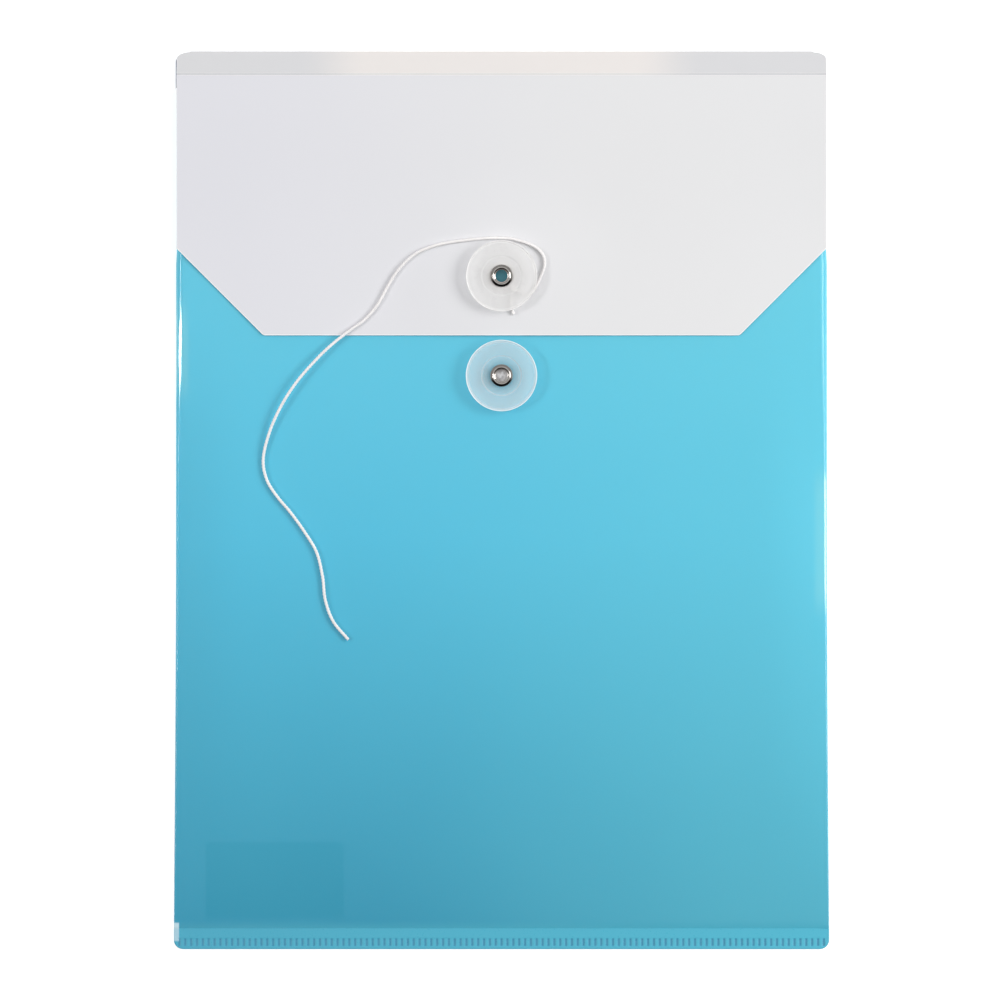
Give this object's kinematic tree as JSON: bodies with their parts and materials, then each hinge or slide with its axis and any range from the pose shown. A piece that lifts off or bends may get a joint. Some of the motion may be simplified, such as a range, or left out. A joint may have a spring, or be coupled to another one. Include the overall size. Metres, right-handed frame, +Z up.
{
  "type": "plastic document folder",
  "caption": "Portrait A4 string-and-button folder: translucent film pouch, creased flap that folds open, two turning discs on eyelets, and a loose tie string.",
  "frame": {"origin": "on the surface that the folder lies on, under the middle of the folder", "axes": "+X across the folder to the right, +Y from the bottom weld up to the top fold, +Z up, out of the front wall"},
  "size_m": [0.2416, 0.331, 0.0121],
  "materials": {
    "film": "translucent blue polypropylene film, soft gloss",
    "sheet": "opaque white polypropylene sheet, satin",
    "disc": "frosted translucent moulded plastic",
    "eyelet": "polished nickel plate",
    "label": "blank matt label",
    "string": "twisted off-white cord"
  },
  "bodies": {
    "pouch": {"back_panel": "film", "front_panel": "film", "left_side_fold": "film", "right_side_fold": "film", "bottom_weld": "film", "back_label": "label", "flap_tab": "sheet", "top_crease": "sheet", "lower_eyelet": "eyelet", "lower_backing_cap": "eyelet"},
    "spine": {"spine_band": "sheet", "flap_crease": "sheet"},
    "flap_sheet": {"flap": "sheet", "upper_backing_washer": "eyelet", "upper_eyelet": "eyelet", "string_loop": "string", "string_tail": "string", "tie_string": "string"},
    "upper_disc": {"upper_button": "disc"},
    "lower_disc": {"lower_button": "disc"}
  },
  "joints": [
    {"name": "spine_fold", "type": "hinge", "parent": "pouch", "child": "spine", "pos_m": [0, 0.1652, 0.0006], "axis": [-1, 0, 0], "range_deg": [0, 139]},
    {"name": "flap_fold", "type": "hinge", "parent": "spine", "child": "flap_sheet", "pos_m": [0, 0.1569, 0.0078], "axis": [-1, 0, 0], "range_deg": [0, 40.9]},
    {"name": "upper_button_turn", "type": "hinge", "parent": "flap_sheet", "child": "upper_disc", "pos_m": [0, 0.0826, 0.0095], "axis": [0, 0, 1], "continuous": true},
    {"name": "lower_button_turn", "type": "hinge", "parent": "pouch", "child": "lower_disc", "pos_m": [0, 0.0459, 0.008], "axis": [0, 0, 1], "continuous": true}
  ]
}
